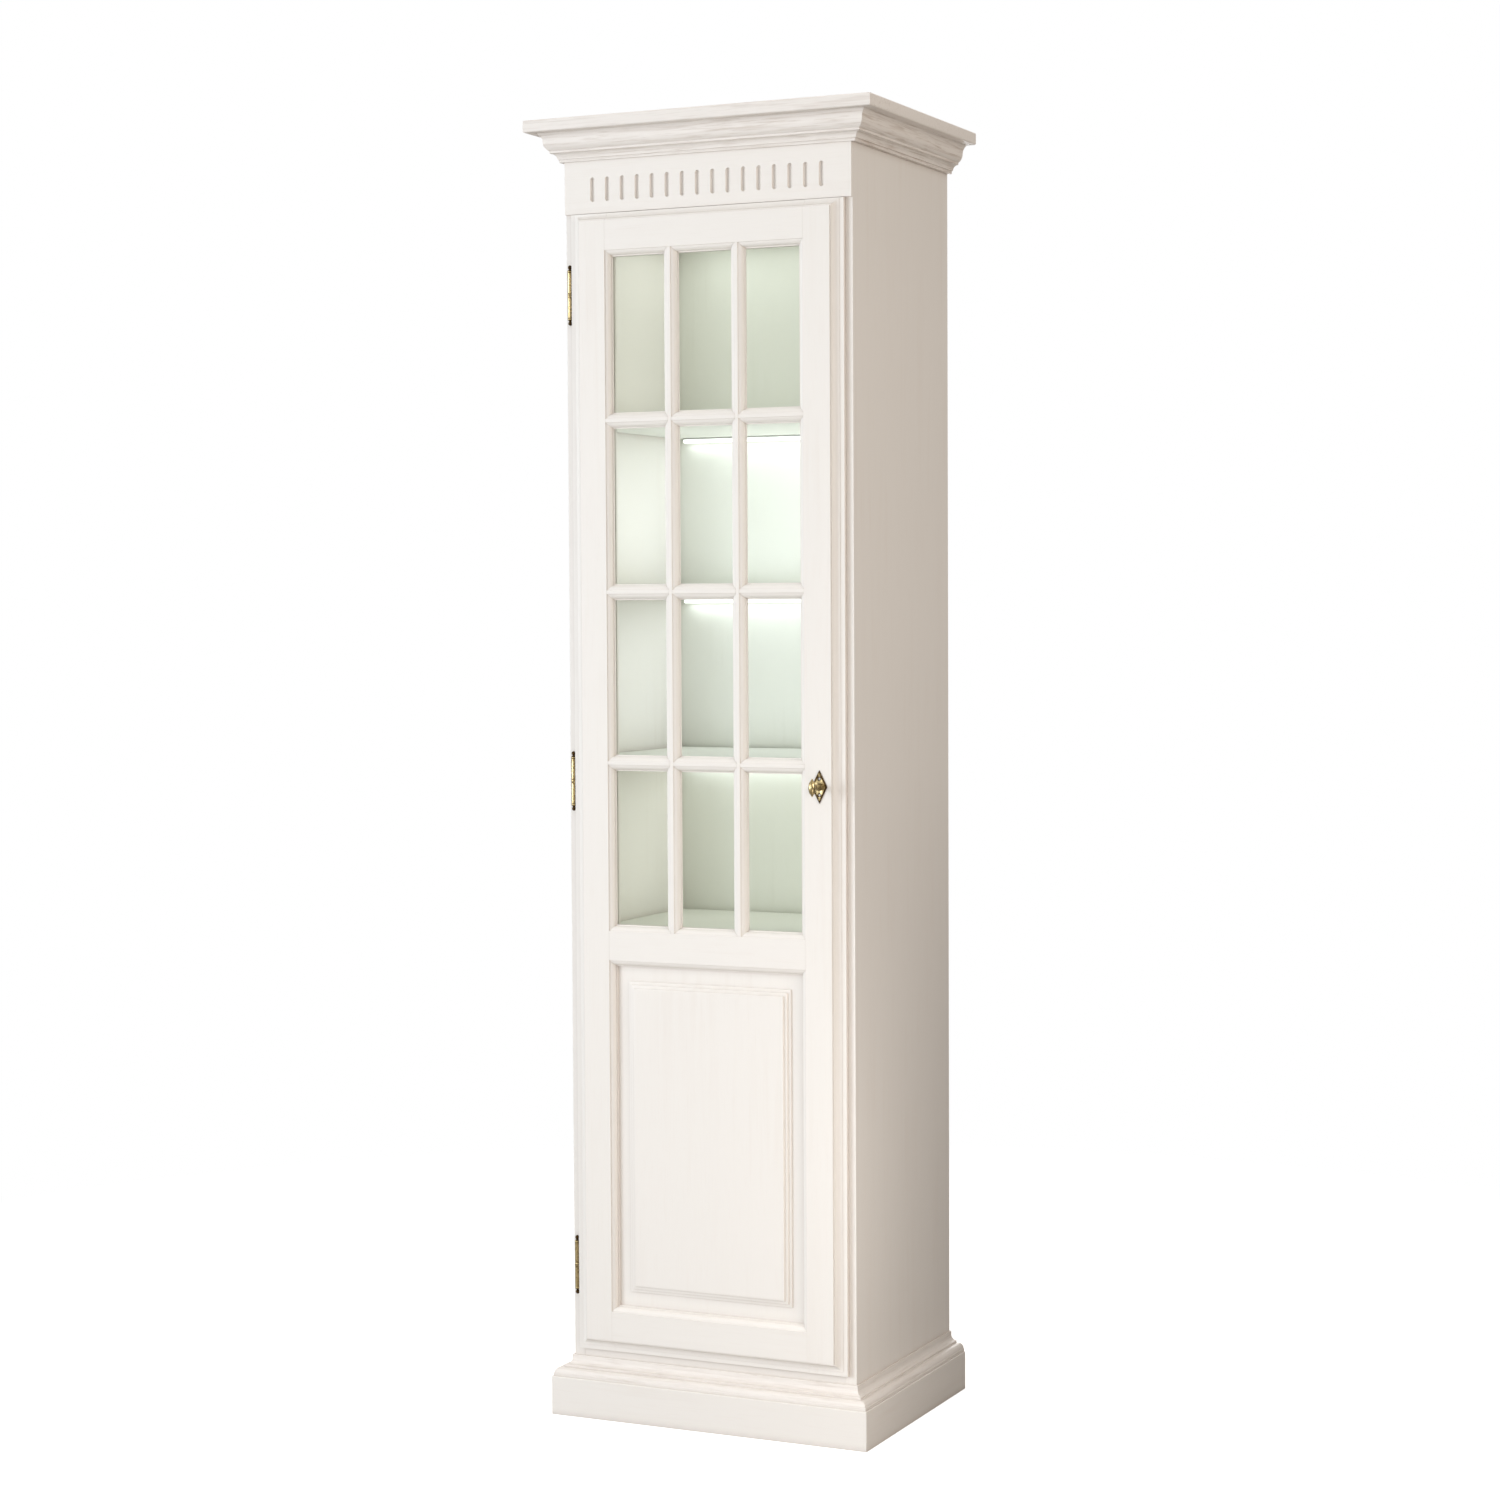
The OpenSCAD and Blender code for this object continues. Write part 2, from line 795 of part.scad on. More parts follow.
// An upright glazing bar with the mouldings of the panes on both its sides
module glazing_bar(col) {
    x = pane_x(col) + pane_w;
    color(WHITE) {
        box([x, door_face, glass_z0], [x + bar_face, glass_y, glass_z1]);
        for (row = [0 : pane_rows - 1]) {
            lip_right(x, pane_z(row), pane_z(row) + pane_h);
            lip_left(x + bar_face, pane_z(row), pane_z(row) + pane_h);
        }
    }
}

// The short bars between the uprights, one for each column
module cross_bar(row) {
    z = pane_z(row) + pane_h;
    color(WHITE) for (col = [0 : pane_cols - 1]) {
        x0 = pane_x(col);
        x1 = x0 + pane_w;
        box([x0, door_face, z], [x1, glass_y, z + bar_face]);
        lip_above(x0, z, x1);
        lip_below(x0, z + bar_face, x1);
    }
}

module glazing_bar_left() { glazing_bar(0); }

module glazing_bar_right() { glazing_bar(pane_cols - 2); }

module cross_bar_top() { cross_bar(2); }

module cross_bar_middle() { cross_bar(1); }

module cross_bar_bottom() { cross_bar(0); }

module door_glass() {
    color(GLASS)
        box([-open_x + rabbet_gap, glass_y, glass_z0 + rabbet_gap],
            [open_x - rabbet_gap, glass_y + glass_t, glass_z1 - rabbet_gap]);
}

// Four strips that hold the glass in its rabbet
module glass_beads() {
    y0 = glass_y + glass_t;
    color(WHITE) {
        for (side = [0, 1]) mirror([side, 0, 0])
            box([open_x - lip_w, y0, glass_z0], [open_x, door_back, glass_z1]);
        box([-open_x + lip_w, y0, glass_z0], [open_x - lip_w, door_back, glass_z0 + lip_w]);
        box([-open_x + lip_w, y0, glass_z1 - lip_w], [open_x - lip_w, door_back, glass_z1]);
    }
}

// ---------- Turn knob, cam and strike ----------

plate_pin_r = 0.7;
plate_pin_len = 8;
plate_pin_zs = [knob_z - plate_h / 2 + 6, knob_z + plate_h / 2 - 6];

module lozenge(w, h) {
    polygon([[0, -h / 2], [w / 2, 0], [0, h / 2], [-w / 2, 0]]);
}

// A lozenge plate with a raised rim and boss, pierced above and below the boss
module knob_backplate() {
    rim_w = 5;
    rim_h = 9.8;
    sunk = 0.5;
    hub_r = 6;
    pierced_r = 2.2;
    pierced_z = 12.5;
    color(BRASS) translate([knob_x, door_face, knob_z]) rotate([90, 0, 0]) difference() {
        union() {
            linear_extrude(plate_t - sunk) lozenge(plate_w, plate_h);
            linear_extrude(plate_t) difference() {
                lozenge(plate_w, plate_h);
                lozenge(plate_w - rim_w, plate_h - rim_h);
            }
            cylinder(r = hub_r, h = plate_t + 1.2);
        }
        for (side = [-1, 1]) translate([0, side * pierced_z, -1]) cylinder(r = pierced_r, h = plate_t + 2);
        translate([0, 0, -1]) cylinder(r = spindle_r + fit_gap, h = plate_t + 4);
        for (z = plate_pin_zs)
            translate([0, z - knob_z, -1]) cylinder(r = plate_pin_r + fit_gap, h = plate_t + 2);
    }
}

module backplate_pins() {
    color(BRASS) for (z = plate_pin_zs)
        translate([knob_x, door_face - plate_t, z]) {
            rotate([-90, 0, 0]) cylinder(r = plate_pin_r, h = plate_t + plate_pin_len - 0.5);
            rotate([90, 0, 0]) cylinder(r = 1.5, h = 0.9);
        }
}

// The olive: a turned body, fattest at its middle, cut off flat at both ends and tipped
module olive() {
    arc_r = 20;
    end_h = olive_h / 2 - 1.2;
    rotate_extrude() intersection() {
        translate([olive_r - arc_r, 0]) circle(r = arc_r);
        translate([0, -end_h]) square([olive_r, 2 * end_h]);
    }
    for (side = [-1, 1]) translate([0, 0, side * end_h]) sphere(r = 1.2);
}

module turn_knob() {
    olive_y = door_face - olive_out;
    cam_back = door_back + cam_gap + cam_t;
    color(BRASS) translate([knob_x, 0, knob_z]) {
        translate([0, olive_y, 0]) olive();
        translate([0, olive_y, 0]) rotate([-90, 0, 0]) cylinder(r = spindle_r, h = cam_back - olive_y);
        translate([0, door_face - plate_t - 8.5, 0]) rotate([-90, 0, 0]) cylinder(r = 4.8, h = 6.5);
    }
}

module latch_cam() {
    end_z = -(cam_len - cam_w / 2);
    color(STEEL) translate([knob_x, door_back + cam_gap, knob_z]) rotate([-90, 0, 0]) difference() {
        union() {
            cylinder(r = cam_w / 2 + 1, h = cam_t);
            translate([-cam_w / 2, 0, 0]) cube([cam_w, -end_z, cam_t]);
            translate([0, -end_z, 0]) cylinder(r = cam_w / 2, h = cam_t);
        }
        translate([0, 0, -1]) cylinder(r = spindle_r + fit_gap, h = cam_t + 2);
    }
}

strike_y = door_back + 1;
strike_screw_y = strike_y + strike_leg - 6;
strike_screw_zs = [knob_z - 10, knob_z + 10];

// An angle plate on the inside of the right-hand side, with a lip for the cam to turn behind
module strike_plate() {
    z0 = knob_z - strike_h / 2;
    z1 = knob_z + strike_h / 2;
    color(STEEL) difference() {
        union() {
            box([inner_w - lip_t, strike_y, z0], [inner_w, strike_y + strike_leg, z1]);
            box([inner_w - strike_reach, strike_y, z0], [inner_w, strike_y + lip_t, z1]);
        }
        for (z = strike_screw_zs)
            translate([inner_w - lip_t - 1, strike_screw_y, z]) rotate([0, 90, 0])
                cylinder(r = screw_r + fit_gap, h = lip_t + 2);
    }
}

module strike_screws() {
    color(STEEL) for (z = strike_screw_zs)
        translate([inner_w - lip_t, strike_screw_y, z]) {
            rotate([0, 90, 0]) cylinder(r = screw_r, h = screw_len);
            rotate([0, -90, 0]) cylinder(r = 2.8, h = 1.2);
        }
}

left_side_panel();
right_side_panel();
back_panel();
top_board();
middle_board();
bottom_board();
shelf_top();
shelf_middle();
shelf_bottom();
shelf_cupboard();
shelf_pins();
top_rail();
bottom_rail();
frieze_board();
cornice_front();
cornice_left();
cornice_right();
cornice_top();
base_cap_front();
base_cap_left();
base_cap_right();
plinth_front();
plinth_left();
plinth_right();
plinth_back();
spot_housing();
spot_lens();
light_bar_top();
light_bar_middle();
light_bar_bottom();
diffuser_top();
diffuser_middle();
diffuser_bottom();
cable_grommet();
hinge_frame_top();
hinge_frame_middle();
hinge_frame_bottom();
hinge_pins();
strike_plate();
strike_screws();
door_left_stile();
door_right_stile();
door_top_rail();
door_middle_rail();
door_bottom_rail();
door_panel();
glazing_bar_left();
glazing_bar_right();
cross_bar_top();
cross_bar_middle();
cross_bar_bottom();
door_glass();
glass_beads();
hinge_door_top();
hinge_door_middle();
hinge_door_bottom();
knob_backplate();
backplate_pins();
turn_knob();
latch_cam();
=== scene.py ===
import json
import math

import bmesh
import bpy
from mathutils import Euler, Matrix, Vector


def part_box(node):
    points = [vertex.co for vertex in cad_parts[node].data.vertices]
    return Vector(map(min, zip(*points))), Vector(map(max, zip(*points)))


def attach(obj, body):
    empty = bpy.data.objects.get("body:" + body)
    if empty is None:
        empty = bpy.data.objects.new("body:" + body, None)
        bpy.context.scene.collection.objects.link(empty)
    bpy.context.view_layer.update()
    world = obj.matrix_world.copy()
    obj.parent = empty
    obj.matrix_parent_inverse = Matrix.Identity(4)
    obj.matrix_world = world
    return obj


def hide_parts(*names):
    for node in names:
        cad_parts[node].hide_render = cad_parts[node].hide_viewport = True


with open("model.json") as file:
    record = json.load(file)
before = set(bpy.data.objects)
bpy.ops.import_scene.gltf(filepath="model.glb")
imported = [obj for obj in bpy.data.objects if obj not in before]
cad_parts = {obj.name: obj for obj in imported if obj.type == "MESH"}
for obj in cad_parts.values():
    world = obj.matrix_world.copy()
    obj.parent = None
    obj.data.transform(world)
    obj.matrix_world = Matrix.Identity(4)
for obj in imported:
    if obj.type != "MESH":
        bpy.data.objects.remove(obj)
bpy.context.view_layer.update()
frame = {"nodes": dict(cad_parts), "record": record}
nodes = frame["nodes"]
bodies = frame["record"]["behaviour"]["bodies"]
slots = {s["node"]: s["material_slot"] for s in frame["record"]["subparts"]}
body_of = {node: body for body, members in bodies.items() for node in members}
scene = bpy.context.scene


# ---------- Node helpers ----------

CUT = "cut"    # object property: where in the timber a piece was cut from


class Tree:
    """A small wrapper that makes and links shader nodes."""

    def __init__(self, tree):
        self.tree = tree
        tree.nodes.clear()

    def node(self, kind, inputs=None, **props):
        made = self.tree.nodes.new(kind)
        for key, value in props.items():
            setattr(made, key, value)
        for key, value in (inputs or {}).items():
            self.set(made.inputs[key], value)
        return made

    def set(self, socket, value):
        if isinstance(value, bpy.types.NodeSocket):
            self.tree.links.new(value, socket)
        else:
            socket.default_value = value

    def math(self, op, a, b):
        made = self.node("ShaderNodeMath", operation=op)
        self.set(made.inputs[0], a)
        self.set(made.inputs[1], b)
        return made.outputs[0]

    def ramp(self, value, low, high, out_low=0.0, out_high=1.0):
        """value, stretched so that low to high becomes out_low to out_high, and held there."""
        made = self.node("ShaderNodeMapRange", clamp=True)
        for name, number in zip(("Value", "From Min", "From Max", "To Min", "To Max"),
                                (value, low, high, out_low, out_high)):
            self.set(made.inputs[name], number)
        return made.outputs[0]

    def mix(self, factor, a, b):
        """A colour between a and b. A Mix node's colour sockets come after those for numbers."""
        made = self.node("ShaderNodeMix", data_type="RGBA")
        self.set(made.inputs[0], factor)
        self.set(made.inputs[6], a)
        self.set(made.inputs[7], b)
        return made.outputs[2]

    def noise(self, vector, scale, detail, rough, distortion=0.0):
        made = self.node("ShaderNodeTexNoise", {
            "Vector": vector, "Scale": scale, "Detail": detail, "Roughness": rough,
            "Distortion": distortion})
        return made.outputs[0]

    def stretched(self, scale):
        """Object coordinates, scaled per axis and moved by the piece's own cut of timber."""
        coords = self.node("ShaderNodeTexCoord").outputs["Object"]
        made = self.node("ShaderNodeMapping", {"Vector": coords, "Scale": scale})
        cut = self.node("ShaderNodeAttribute", attribute_type="OBJECT", attribute_name=CUT)
        moved = self.node("ShaderNodeVectorMath", {0: made.outputs[0], 1: cut.outputs["Vector"]},
                          operation="ADD")
        return moved.outputs[0]

    def bump(self, height, strength, distance):
        made = self.node("ShaderNodeBump", {
            "Height": height, "Strength": strength, "Distance": distance})
        return made.outputs[0]

    def occlusion(self, reach, inside=False):
        """How open a point is: 1 on a free surface, near 0 in a crevice of size reach."""
        made = self.node("ShaderNodeAmbientOcclusion", {"Distance": reach}, samples=6,
                         inside=inside)
        return made.outputs["AO"]

    def surface(self, shader):
        self.node("ShaderNodeOutputMaterial", {"Surface": shader.outputs[0]})


def new_material(name):
    made = bpy.data.materials.new(name)
    made.use_nodes = True
    return made, Tree(made.node_tree)


def rgb(r, g, b):
    """Display colour, 0 to 255, as a linear shader colour."""
    def linear(c):
        c /= 255
        return c / 12.92 if c <= 0.04045 else ((c + 0.055) / 1.055) ** 2.4
    return (linear(r), linear(g), linear(b), 1.0)


# ---------- Materials ----------

EVEN = (1, 1, 1)
GRAIN_STRETCH = 0.045
# Painted shade in crevices: how far into a crevice it reaches, and how strongly it darkens the
# paint
CREVICE_REACH = 0.012
CREVICE_SHADE_STRENGTH = 0.35
# The fineness of each noise, in features a metre
FIBRES, BRUSH_MARKS, THIN_PATCHES = 420, 900, 5.5
METAL_PITS, METAL_CLOUDS = 260, 70


def painted_wood(name, grain, tone, thin, dark, open_grain, figure=62, rough=0.48):
    """Paint brushed over pine. grain is the axis (0, 1, 2) that the fibres run along.

    open_grain is how much of the timber's figure shows through the paint, and figure is how
    many of its bands would fit across a metre.
    """
    mat, t = new_material(name)
    along = [1.0, 1.0, 1.0]
    along[grain] = GRAIN_STRETCH
    fibre_at = t.stretched(along)

    fibres = t.noise(fibre_at, FIBRES, 6, 0.62)
    rings = t.noise(fibre_at, figure, 3, 0.5, 0.6)
    patches = t.noise(t.stretched(EVEN), THIN_PATCHES, 3, 0.5)
    brush = t.noise(fibre_at, BRUSH_MARKS, 2, 0.5)

    pores = t.ramp(fibres, 0.53, 0.72)
    bands = t.ramp(rings, 0.50, 0.70)
    thin_paint = t.math("MULTIPLY", t.ramp(patches, 0.35, 0.72), bands)
    # Painted shade: the paint turns towards its dark colour where the occlusion finds a crevice
    crevice_shade = t.ramp(t.occlusion(CREVICE_REACH), 0.35, 0.95, 1.0, 0.0)

    colour = t.mix(t.math("MULTIPLY", thin_paint, 0.85 * open_grain), tone, thin)
    colour = t.mix(t.math("MULTIPLY", pores, 0.55 * open_grain), colour, thin)
    colour = t.mix(t.math("MULTIPLY", crevice_shade, CREVICE_SHADE_STRENGTH), colour, dark)

    height = t.math("ADD", t.math("MULTIPLY", fibres, 0.7), t.math("MULTIPLY", brush, 0.3))
    height = t.math("ADD", height, t.math("MULTIPLY", rings, 0.5))
    gloss = t.ramp(fibres, 0.3, 0.7, rough - 0.05, rough + 0.09)
    t.surface(t.node("ShaderNodeBsdfPrincipled", {
        "Base Color": colour, "Roughness": gloss, "Normal": t.bump(height, 0.16, 0.0004),
        "Specular IOR Level": 0.42, "Coat Weight": 0.08, "Coat Roughness": 0.35}))
    return mat


def metal(name, bright, dull, deep, rough, patina=0.6):
    """Metal that is bright on its high spots, dull elsewhere and dark in its recesses."""
    mat, t = new_material(name)
    at = t.stretched(EVEN)
    spots = t.noise(at, METAL_PITS, 5, 0.6)
    clouds = t.noise(at, METAL_CLOUDS, 3, 0.5)
    recess = t.ramp(t.occlusion(0.003), 0.35, 0.92, 1.0, 0.0)
    rubbed = t.ramp(t.occlusion(0.002, inside=True), 0.55, 0.98, 1.0, 0.0)
    worn = t.math("MULTIPLY", rubbed, t.ramp(spots, 0.35, 0.6))
    colour = t.mix(t.math("MULTIPLY", t.ramp(clouds, 0.38, 0.62), patina), bright, dull)
    colour = t.mix(worn, colour, bright)
    colour = t.mix(t.math("MULTIPLY", recess, 0.9), colour, deep)
    gloss = t.ramp(spots, 0.3, 0.7, rough, rough + 0.16)
    t.surface(t.node("ShaderNodeBsdfPrincipled", {
        "Base Color": colour, "Roughness": gloss, "Metallic": 1.0,
        "Normal": t.bump(spots, 0.25, 0.0002)}))
    return mat


def clear_glass(name):
    """A thin pane: it lets light through and mirrors a little, more at a glancing angle."""
    mat, t = new_material(name)
    waves = t.noise(t.stretched(EVEN), 9, 2, 0.4)
    through = t.node("ShaderNodeBsdfTransparent", {"Color": (0.955, 0.975, 0.965, 1)})
    mirror = t.node("ShaderNodeBsdfGlossy", {
        "Color": (0.95, 0.98, 0.97, 1), "Roughness": 0.03, "Normal": t.bump(waves, 0.05, 0.002)})
    facing = t.node("ShaderNodeLayerWeight", {"Blend": 0.5}).outputs["Facing"]
    edge_on = t.math("ADD", t.math("MULTIPLY", t.math("POWER", facing, 5.0), 0.9), 0.03)
    t.surface(t.node("ShaderNodeMixShader", {
        0: edge_on, 1: through.outputs[0], 2: mirror.outputs[0]}))
    return mat


def lit_opal(name, colour, strength):
    """An opal plastic diffuser with the light on behind it."""
    mat, t = new_material(name)
    grain = t.noise(t.stretched(EVEN), 700, 2, 0.5)
    t.surface(t.node("ShaderNodeBsdfPrincipled", {
        "Base Color": t.mix(t.ramp(grain, 0.4, 0.6), colour, (0.86, 0.92, 0.9, 1)),
        "Roughness": 0.35, "Normal": t.bump(grain, 0.1, 0.0002),
        "Emission Color": colour, "Emission Strength": strength}))
    return mat


def moulded_plastic(name, colour):
    mat, t = new_material(name)
    grain = t.noise(t.stretched(EVEN), 1400, 3, 0.5)
    darker = tuple(c * 0.86 for c in colour[:3]) + (1,)
    t.surface(t.node("ShaderNodeBsdfPrincipled", {
        "Base Color": t.mix(t.ramp(grain, 0.4, 0.65), colour, darker),
        "Roughness": t.ramp(grain, 0.3, 0.7, 0.4, 0.55), "Normal": t.bump(grain, 0.2, 0.0002)}))
    return mat


X_AXIS, Y_AXIS, Z_AXIS = 0, 1, 2
# The paints as they look in the light, how they look where thin, and dark, the painted shade they
# turn towards in crevices
OUTER = dict(tone=rgb(244, 239, 233), thin=rgb(222, 207, 194), dark=rgb(170, 149, 136))
CORNICE = dict(tone=rgb(242, 236, 230), thin=rgb(196, 181, 168), dark=rgb(160, 141, 128),
               figure=230)
INNER = dict(tone=rgb(233, 233, 224), thin=rgb(214, 214, 201), dark=rgb(158, 158, 138),
             rough=0.6)


def wood_set(name, open_grain, colours):
    """One paint for each grain direction."""
    return {axis: painted_wood(f"{name}_{'xyz'[axis]}", axis, open_grain=open_grain, **colours)
            for axis in (X_AXIS, Y_AXIS, Z_AXIS)}


smooth_paint = wood_set("smooth_paint", 0.16, OUTER)
cornice_paint = wood_set("cornice_paint", 1.0, CORNICE)
cap_paint = wood_set("cap_paint", 0.5, CORNICE)
inner_paint = wood_set("inner_paint", 0.3, INNER)
brass = metal("antique_brass", rgb(205, 184, 136), rgb(112, 92, 58), rgb(22, 17, 11), 0.22)
dark_brass = metal("darkened_brass", rgb(84, 64, 38), rgb(40, 30, 19), rgb(12, 9, 6), 0.3)
steel = metal("zinc_steel", rgb(200, 200, 198), rgb(160, 160, 160), rgb(60, 60, 60), 0.3, 0.4)
alloy = metal("anodised_alloy", rgb(222, 222, 220), rgb(204, 204, 203), rgb(90, 90, 90), 0.36,
              0.3)
glass = clear_glass("pane_glass")
opal = lit_opal("opal_diffuser", (0.96, 1.0, 0.97, 1), 1.6)
plastic = moulded_plastic("outlet_plastic", rgb(225, 224, 218))
PLAIN = {"steel": steel, "aluminium": alloy, "plastic": plastic, "antique_brass": brass,
         "lamp": opal, "glass": glass}


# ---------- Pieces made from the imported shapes, with their arrises softened ----------

WOOD_ARRIS = 0.0007
CAP_ARRIS = 0.0004    # the plinth cap has a step 1 mm wide, which takes no wider bevel
METAL_ARRIS = 0.0003
SHARP = math.radians(28)
FLAT = math.radians(0.4)
MERGE = 2e-6

GRAIN_ACROSS = {
    "top_board", "middle_board", "bottom_board", "shelf_top", "shelf_middle", "shelf_bottom",
    "shelf_cupboard", "top_rail", "bottom_rail", "frieze_board", "cornice_front", "cornice_top",
    "base_cap_front", "plinth_front", "plinth_back", "door_top_rail", "door_middle_rail",
    "door_bottom_rail", "cross_bar_top", "cross_bar_middle", "cross_bar_bottom"}
GRAIN_DEEP = {
    f"{run}_{side}" for run in ("cornice", "base_cap", "plinth") for side in ("left", "right")}
FIGURED = {"cornice_top": cap_paint}
for side in ("front", "left", "right"):
    FIGURED[f"cornice_{side}"] = cornice_paint
    FIGURED[f"base_cap_{side}"] = cap_paint
TIMBER_STEP = (1.31, 0.73, 0.57)    # from one piece's cut of timber to the next


def grain_of(node):
    if node in GRAIN_ACROSS:
        return X_AXIS
    return Y_AXIS if node in GRAIN_DEEP else Z_AXIS


def material_of(node):
    if slots[node] == "inner_paint":
        return inner_paint[grain_of(node)]
    if slots[node] == "outer_paint":
        return FIGURED.get(node, smooth_paint)[grain_of(node)]
    return PLAIN[slots[node]]


def arris_of(node):
    if node.startswith("base_cap"):
        return CAP_ARRIS
    if slots[node] in ("outer_paint", "inner_paint"):
        return WOOD_ARRIS
    return METAL_ARRIS


def place_piece(mesh, name, node):
    """Link a mesh as the visible piece for a node, riding on the node's body."""
    piece = bpy.data.objects.new(name, mesh)
    scene.collection.objects.link(piece)
    count = sorted(nodes).index(node)
    piece[CUT] = [count * step for step in TIMBER_STEP]
    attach(piece, body_of[node])
    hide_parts(node)
    return piece


def softened(node):
    """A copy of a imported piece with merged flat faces, bevelled arrises and smooth mouldings."""
    mesh = nodes[node].data.copy()
    mesh.materials.clear()
    mesh.materials.append(material_of(node))
    work = bmesh.new()
    work.from_mesh(mesh)
    bmesh.ops.remove_doubles(work, verts=work.verts, dist=MERGE)
    bmesh.ops.dissolve_limit(work, angle_limit=FLAT, verts=work.verts, edges=work.edges)
    for face in work.faces:
        face.smooth = True
    work.to_mesh(mesh)
    work.free()
    piece = place_piece(mesh, f"soft_{node}", node)
    bevel = piece.modifiers.new("arris", "BEVEL")
    bevel.width = arris_of(node)
    bevel.segments = 2
    bevel.limit_method = "ANGLE"
    bevel.angle_limit = SHARP
    bevel.use_clamp_overlap = True
    even = piece.modifiers.new("even_normals", "WEIGHTED_NORMAL")
    even.keep_sharp = True
    even.weight = 100


# Pieces made anew further down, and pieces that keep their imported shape
TURNED = {n for n in nodes if slots[n] == "antique_brass"} | {"strike_screws"}
LAMPS = {n for n in nodes if slots[n] == "lamp"}
for node in nodes:
    if node in LAMPS:
        nodes[node].data.materials.clear()
        nodes[node].data.materials.append(material_of(node))
    elif node not in TURNED and node != "door_glass":
        softened(node)


GLASS_GAP = 0.00006    # keeps the sheet's faces off the bars in front and the beads behind


def float_glass():
    """The sheet of glass, a hair thinner than its rabbet."""
    mesh = nodes["door_glass"].data.copy()
    mesh.materials.clear()
    mesh.materials.append(glass)
    lo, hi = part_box("door_glass")
    middle = (lo.y + hi.y) / 2
    for vertex in mesh.vertices:
        vertex.co.y += GLASS_GAP if vertex.co.y < middle else -GLASS_GAP
    place_piece(mesh, "float_glass", "door_glass")


float_glass()


# ---------- Turned brass ----------

MM = 0.001
ROUND_STEPS = 40
TURNED_SHARP = math.radians(40)


def lathe(work, profile, origin, axis, dark_from=None, dark_to=None):
    """Turn a closed solid. profile is (height, radius) in mm, from end to end on the axis.

    Faces between dark_from and dark_to along the axis take the second material.
    """
    turn = Vector((0, 0, 1)).rotation_difference(Vector(axis)).to_matrix()
    rings = []
    for height, radius in profile:
        if radius == 0:
            rings.append([work.verts.new(origin + turn @ Vector((0, 0, height * MM)))])
            continue
        ring = []
        for step in range(ROUND_STEPS):
            angle = math.tau * step / ROUND_STEPS
            across, up = radius * MM * math.cos(angle), radius * MM * math.sin(angle)
            ring.append(work.verts.new(origin + turn @ Vector((across, up, height * MM))))
        rings.append(ring)
    for (low, high), (ring_a, ring_b) in zip(zip(profile, profile[1:]), zip(rings, rings[1:])):
        middle = (low[0] + high[0]) / 2
        dark = dark_from is not None and dark_from <= middle <= dark_to
        for step in range(ROUND_STEPS):
            after = (step + 1) % ROUND_STEPS
            if len(ring_a) == 1:
                corners = (ring_a[0], ring_b[after], ring_b[step])
            elif len(ring_b) == 1:
                corners = (ring_a[step], ring_a[after], ring_b[0])
            else:
                corners = (ring_a[step], ring_a[after], ring_b[after], ring_b[step])
            face = work.faces.new(corners)
            face.smooth = True
            face.material_index = 1 if dark else 0


def arc(centre, radius, start, end, steps):
    """Points on a circle in a profile, start and end in degrees up from straight out."""
    points = []
    for step in range(steps + 1):
        angle = math.radians(start + (end - start) * step / steps)
        points.append((centre + radius * math.sin(angle), radius * math.cos(angle)))
    return points


def brass_mesh(name, work):
    bmesh.ops.recalc_face_normals(work, faces=work.faces)
    mesh = bpy.data.meshes.new(name)
    work.to_mesh(mesh)
    work.free()
    mesh.materials.append(brass)
    mesh.materials.append(dark_brass)
    mesh.set_sharp_from_angle(angle=TURNED_SHARP)
    return mesh


# The hinges, in mm
PIN_BORE = 2.55
BORE_DEPTH = 31
KNUCKLE = [
    (BORE_DEPTH, 0), (BORE_DEPTH, PIN_BORE), (0.15, PIN_BORE), (0.15, 3.6), (0.5, 4.0), (2.2, 4.0),
    (2.7, 3.7), (3.2, 3.25), (3.7, 3.7), (4.4, 3.7), (20, 3.75), (34.4, 3.7), (35.1, 3.7),
    (35.6, 3.2), (36.1, 3.7), (36.6, 4.0), (38.3, 4.0), (38.9, 3.5), (39.6, 2.3), (40.6, 1.9),
    (41.3, 2.1), *arc(43.9, 3.2, -50, 68, 10), (47.0, 0.9), (47.4, 0.5), (47.5, 0)]
FINIAL = (37.5, 48)
STUD_HEIGHT = 20
STUD_START = 2.9
STUD_SHANK = 4
STUD_R, ROOT_R, CREST_R = 1.9, 1.55, 1.95
THREAD_PITCH = 1.25


def threaded_stud(start, end):
    """A stud from start to end, in mm, with a rolled thread past its shank."""
    points = [(start, 0), (start, STUD_R), (start + STUD_SHANK, STUD_R)]
    here = start + STUD_SHANK
    while here + THREAD_PITCH < end - 1:
        points += [(here + THREAD_PITCH / 2, ROOT_R), (here + THREAD_PITCH, CREST_R)]
        here += THREAD_PITCH
    return points + [(end - 0.8, 1.4), (end, 0.8), (end, 0)]


def hinge_half(node, pin, up, stud_axis, stud_end):
    """One half of a finial hinge: a knuckle that points up or down, and its stud."""
    work = bmesh.new()
    lathe(work, KNUCKLE, pin, (0, 0, up), *FINIAL)
    stud_at = pin + Vector((0, 0, up * STUD_HEIGHT * MM))
    lathe(work, threaded_stud(STUD_START, stud_end / MM), stud_at, stud_axis)
    place_piece(brass_mesh(f"turned_{node}", work), f"turned_{node}", node)


door_joint, knob_joint = frame["record"]["behaviour"]["joints"]
hinge_axis = door_joint["pos_m"]
stem = knob_joint["pos_m"]
for level in ("top", "middle", "bottom"):
    _, frame_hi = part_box(f"hinge_frame_{level}")
    door_lo, door_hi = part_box(f"hinge_door_{level}")
    pin = Vector((hinge_axis[0], hinge_axis[1], (frame_hi.z + door_lo.z) / 2))
    hinge_half(f"hinge_frame_{level}", pin, -1, (0, 1, 0), frame_hi.y - pin.y)
    hinge_half(f"hinge_door_{level}", pin, 1, (1, 0, 0), door_hi.x - pin.x)


OLIVE_R = 5.8
OLIVE_TAPER = 40.0


